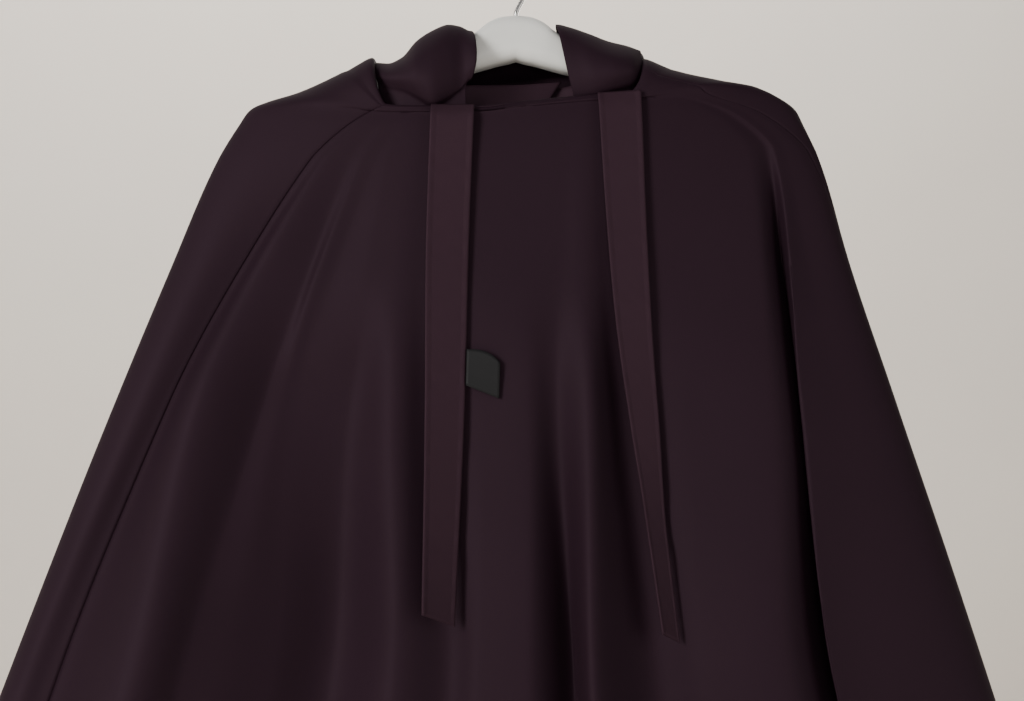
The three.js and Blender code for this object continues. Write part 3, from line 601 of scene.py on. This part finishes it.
def strip_controls(foot, top, crest_share, crease_share, swell_share, front_share, belly_share):
    """The control points of one strip of the hood, from behind the neckline to the back."""
    foot, top = foot * NECK_LEFT, top * NECK_LEFT
    line = SHOULDER_Z + line_lift(foot)
    crest = SHOULDER_Z + crest_share * HOOD_RISE
    crease = SHOULDER_Z + crease_share * HOOD_RISE
    swell = swell_share * HOOD_SWELL
    front = -HOOD_FRONT * front_share
    belly = belly_share * HOOD_BELLY
    over = SHOULDER_Z + NECK_BACK_RISE + line_lift(top) + HOOD_OVER
    share = max(0, 1 - (top / NECK_LEFT / 0.95) ** 2) ** 0.8
    bottom = over - HOOD_OVER - POUCH_DROP * share
    out = NECK_BACK + 8 + POUCH_OUT * share

    def lie(z):
        return cape_depth(top - 12, top + 12, z, 1) + WALL + 2.2

    low, middle = mix(over, bottom, 0.87), mix(over, bottom, 0.5)
    return [
        (foot, front, line - 8),
        (foot, front, line + 1),
        (mix(foot, top, 0.2), front - 0.5, crease - 1),
        (mix(foot, top, 0.25) + belly * 0.6, front - swell * 0.5, crease + 3),
        (mix(foot, top, 0.5) + belly, front - swell, mix(crease + 3, crest, 0.25)),
        (mix(foot, top, 0.75) + belly, front * 0.9 - swell * 0.85, mix(crease, crest, 0.6)),
        (mix(foot, top, 0.95) + belly * 0.6, front * 0.55 - swell * 0.35, mix(crease, crest, 0.92)),
        (top, -4, crest),
        (top * 1.06, 17.5, mix(crest, over, 0.18)),
        (top * 1.08, NECK_BACK + 5, over),
        (top, mix(NECK_BACK + 8, out, 0.65), mix(over, bottom, 0.16)),
        (top * 0.97, out, mix(over, bottom, 0.55)),
        (top * 0.93, out + 2, low),
        (top * 0.92, mix(lie(bottom), out, 0.45) + 1, bottom),
        (top * 0.93, lie(low) + 1, low),
        (top * 0.97, lie(middle), middle),
        (top, NECK_BACK + 4, over - 12),
    ]


def build_hood(cloth):
    """The collapsed hood: two lobes over the arms and a pouch behind the cape."""
    spots = np.arange((len(STRIPS) - 1) * COLUMNS_PER_STRIP + 1) / COLUMNS_PER_STRIP
    knots = np.arange(len(STRIPS))
    columns = [smooth(knots, [row[k] for row in STRIPS], spots) for k in range(1, 8)]
    controls = np.array([strip_controls(*values) for values in zip(*columns)])
    grid = np.array(curve_rows(list(controls.transpose(1, 0, 2)), ROWS_PER_SPAN))
    rim = STRIP_NAMES.index("left rim") * COLUMNS_PER_STRIP
    tip = STRIP_NAMES.index("right tip") * COLUMNS_PER_STRIP

    def present(r, c):
        return r >= NAPE_SPAN * ROWS_PER_SPAN or c < rim or c >= tip

    piece = cloth_piece("hood_cloth", grid, WALL, cloth, "hood", present)


def tie_row(tie, down, across):
    """A row across a tie, which narrows and turns on its way down and ends at a slant."""
    downs, centres, wides = (np.array(v) for v in zip(*tie["stations"]))
    centre = float(smooth(downs, centres, down)) * NECK_LEFT
    width = float(smooth(downs, wides, down)) * TIE_WIDTH
    stand = math.sqrt(max(0, TIE_WIDTH**2 - width**2)) * tie["turn"]
    top = SHOULDER_Z + line_lift(tie["stations"][0][1] * NECK_LEFT) + FRONT_ROLL
    z = top - down * tie["length"]
    reach = width / 2 + 8
    lie = cape_depth(centre - reach, centre + reach, z - 8, -1) - TIE_CLEAR
    slant = tie["slant"] * max(0, down * 5 - 4)
    rows = [(centre + a * width, lie - a * stand - abs(stand) / 2, z - slant * a) for a in across]
    return np.array(rows)


def build_tie(name, tie, cloth):
    across = np.linspace(-0.5, 0.5, TIE_COLUMNS)
    x = tie["stations"][0][1] * NECK_LEFT + across * TIE_WIDTH
    line = SHOULDER_Z + line_lift(x) + FRONT_ROLL
    top = np.stack([x, np.full_like(x, -NECK_FRONT - TIE_CLEAR), line + WALL / 2], axis=-1)
    downs = [TIE_START + (1 - TIE_START) * i / TIE_ROWS for i in range(TIE_ROWS + 1)]
    grid = np.array(curve_rows([top] + [tie_row(tie, down, across) for down in downs], TIE_STEPS))
    hem = np.clip((np.abs(across) - 0.5 + HEM) / HEM_EDGE, 0, 1)
    short, long = PUCKER_WAVES
    pucker = np.sin(grid[..., 2] / short) * np.sin(grid[..., 2] / long) * (1 - hem)
    grid[..., 1] -= HEM_STEP * hem + PUCKER * pucker * np.abs(across) * 2
    piece = cloth_piece(name + "_cloth", grid, TIE_WALL, cloth, name)


def build_label(cloth):
    across = np.linspace(0, 1, LABEL_POINTS)
    rows = []
    for share in np.linspace(0, 1, LABEL_POINTS):
        down = (LABEL_DOWN + share * LABEL_HEIGHT) / LEFT_TIE["length"]
        edge = tie_row(LEFT_TIE, down, (0.5,))[0]
        lie = cape_depth(edge[0], edge[0] + LABEL_WIDTH + 8, edge[2] - LABEL_SLANT, -1)
        edge[1] = min(edge[1], lie - TIE_CLEAR)
        rows.append(
            [
                (
                    edge[0] + LAY_GAP + 0.1 + a * LABEL_WIDTH,
                    edge[1] + 0.5 - 2 * a * (1 - share),
                    edge[2] - LABEL_SLANT * mix(a**3, a, share),
                )
                for a in across
            ]
        )
    piece = cloth_piece("label_cloth", np.array(rows), LABEL_WALL, cloth, "label")


def build_band(name, band, cloth):
    points = [np.array([(x, y, 0.0)]) for x, y in band["path"]]
    way = np.array(curve_rows(points, BAND_STEPS))[:, 0]
    share = np.linspace(0, 1, len(way))
    upper = mix(SHOULDER_Z + band["start_rise"], SHOULDER_Z + band["end_rise"], share)
    rows = []
    for down in np.linspace(0, 1, BAND_POINTS):
        x = way[:, 0] - band["slant"] * down * share**4
        rows.append(np.stack([x, way[:, 1], upper - down * BAND_WIDTH], axis=-1))
    piece = cloth_piece(name + "_cloth", np.array(rows), WALL, cloth, name)


def build_hanger(paint):
    """The broad hanger, lofted through upright oval sections."""
    sides = HANGER_SIDES
    outs = np.concatenate([-np.linspace(1, 0, HANGER_RINGS)[:-1], np.linspace(0, 1, HANGER_RINGS)])
    outs = np.sign(outs) * (1 - (1 - np.abs(outs)) ** HANGER_CROWDING)
    share = np.abs(outs)
    drop, thick, deep = (smooth(ARM[:, 0], ARM[:, k], share) for k in (1, 2, 3))
    angle = (np.arange(sides) + 0.5) / sides * 2 * math.pi
    c, s = np.cos(angle), np.sin(angle)
    half = thick * HANGER_THICK / 2
    middle = HANGER_TOP - drop * HANGER_DROP - half
    x = np.repeat((outs * HANGER_HALF)[:, None], sides, axis=1)
    y = (deep * HANGER_HALF_DEPTH)[:, None] * np.sign(c) * np.abs(c) ** HANGER_OVAL
    z = middle[:, None] + half[:, None] * np.sign(s) * np.abs(s) ** HANGER_OVAL
    points = np.stack([x, y, z], axis=-1).reshape(-1, 3)
    rings = len(outs)
    faces = [f[::-1] for f in grid_faces(rings, sides, closed=True)]
    faces.append(tuple(range(sides)))
    faces.append(tuple(range((rings - 1) * sides, rings * sides))[::-1])
    add_mesh("hanger_body", points, faces, paint, "hanger")


def build_hook(metal):
    """The wire hook: a leaning stem, then round the right side and over the crown."""
    centre = HOOK_WIRE - HOOK_RADIUS
    way = [(0, 0, HANGER_TOP + 0.3), (0.6, 0, HANGER_TOP + 4)]
    for degrees in HOOK_ANGLES:
        angle = math.radians(degrees)
        way.append((HOOK_RADIUS * math.cos(angle), 0, centre + HOOK_RADIUS * math.sin(angle)))
    line = np.array(curve_rows([np.array([p], float) for p in way], HOOK_STEPS))[:, 0]
    along = np.gradient(line, axis=0)
    along /= np.linalg.norm(along, axis=1, keepdims=True)
    side = np.array([0, 1.0, 0])
    rows = []
    sides = HOOK_SIDES
    for point, ahead in zip(line, along):
        up = np.cross(ahead, side)
        turn = np.arange(sides) / sides * 2 * math.pi
        rows.append(point + HOOK_WIRE * (np.cos(turn)[:, None] * side + np.sin(turn)[:, None] * up))
    faces = grid_faces(len(rows), sides, closed=True)
    faces.append(tuple(range(sides)))
    faces.append(tuple(range((len(rows) - 1) * sides, len(rows) * sides))[::-1])
    add_mesh("hook_wire", np.array(rows).reshape(-1, 3), faces, metal, "hanger_hook")


def build_stage():
    """A pale floor and a pale wall well behind the hanging veil."""
    for name, place, turn in (
        ("floor", (0, 0, FLOOR_Z), (0, 0, 0)),
        ("wall", (0, WALL_BEHIND, 0.5), (math.pi / 2, 0, 0)),
    ):
        bpy.ops.mesh.primitive_plane_add(size=STAGE_SIZE, location=place, rotation=turn)
        plane = bpy.context.object
        plane.name = name
        plane.data.materials.append(plain(name + "_paint", STAGE_COLOUR, 0.8, scale=3))


def add_light(name, place, target, size, power, colour):
    light = bpy.data.lights.new(name, "AREA")
    light.shape = "RECTANGLE"
    light.size, light.size_y = size
    light.energy = power
    light.color = colour
    lamp = bpy.data.objects.new(name, light)
    lamp.location = place
    way = np.array(target) - np.array(place)
    lamp.rotation_euler = (
        math.acos(-way[2] / np.linalg.norm(way)),
        0,
        math.atan2(way[1], way[0]) - math.pi / 2,
    )
    bpy.context.scene.collection.objects.link(lamp)


def build_lights():
    add_light("window", (-2.2, -2.2, 0.3), (0, 0, -0.4), (1.0, 1.8), 98, (1.0, 0.98, 0.95))
    add_light("room", (2.4, -1.9, -0.1), (0, 0, -0.4), (1.6, 2.0), 22, (1.0, 0.97, 0.93))
    add_light("back", (0.9, 2.3, 0.1), (0.9, 0, 0), (1.2, 1.2), 45, (1.0, 0.98, 0.95))
    wash = (-0.5, WALL_BEHIND - 1.5, 1.7)
    add_light("wall_wash", wash, (-0.5, WALL_BEHIND, 0.1), (4.0, 0.6), 84, (1.0, 0.97, 0.93))
    add_light("front", (0.1, -2.9, -0.38), (0, 0, -0.4), (0.9, 0.5), 11, (1.0, 0.98, 0.95))
    world = bpy.data.worlds.new("room")
    world.use_nodes = True
    world.node_tree.nodes["Background"].inputs["Color"].default_value = (0.95, 0.94, 0.94, 1)
    world.node_tree.nodes["Background"].inputs["Strength"].default_value = 0.19
    bpy.context.scene.world = world


def build_camera():
    camera = bpy.data.cameras.new("camera")
    camera.sensor_width = SENSOR
    camera.lens = SENSOR * CAMERA_FAR / SCENE_WIDTH
    camera.clip_end = 50
    eye = bpy.data.objects.new("camera", camera)
    eye.location = (CAMERA_X, -CAMERA_FAR, CAMERA_Z)
    eye.rotation_euler = (math.pi / 2, 0, 0)
    bpy.context.scene.collection.objects.link(eye)
    bpy.context.scene.camera = eye


cloth = crepe("aubergine_crepe", (0.0150, 0.0067, 0.0116))
tie_cloth = crepe("tie_crepe", (0.0270, 0.0130, 0.0198))
label_cloth = plain("label_satin", (0.012, 0.012, 0.013), 0.6, bump=0.2, scale=900, specular=0.15)
paint = plain("white_paint", (0.8, 0.8, 0.77), 0.35, scale=60)
metal = plain("bright_wire", (0.62, 0.61, 0.6), 0.22, metallic=1.0, scale=400)

build_camera()
build_lights()
build_stage()
build_cape(cloth)
build_hood(cloth)
build_tie("left_tie", LEFT_TIE, tie_cloth)
build_tie("right_tie", RIGHT_TIE, tie_cloth)
build_label(label_cloth)
build_band("left_inner_band", LEFT_BAND, tie_cloth)
build_band("right_inner_band", RIGHT_BAND, tie_cloth)
build_hanger(paint)
build_hook(metal)
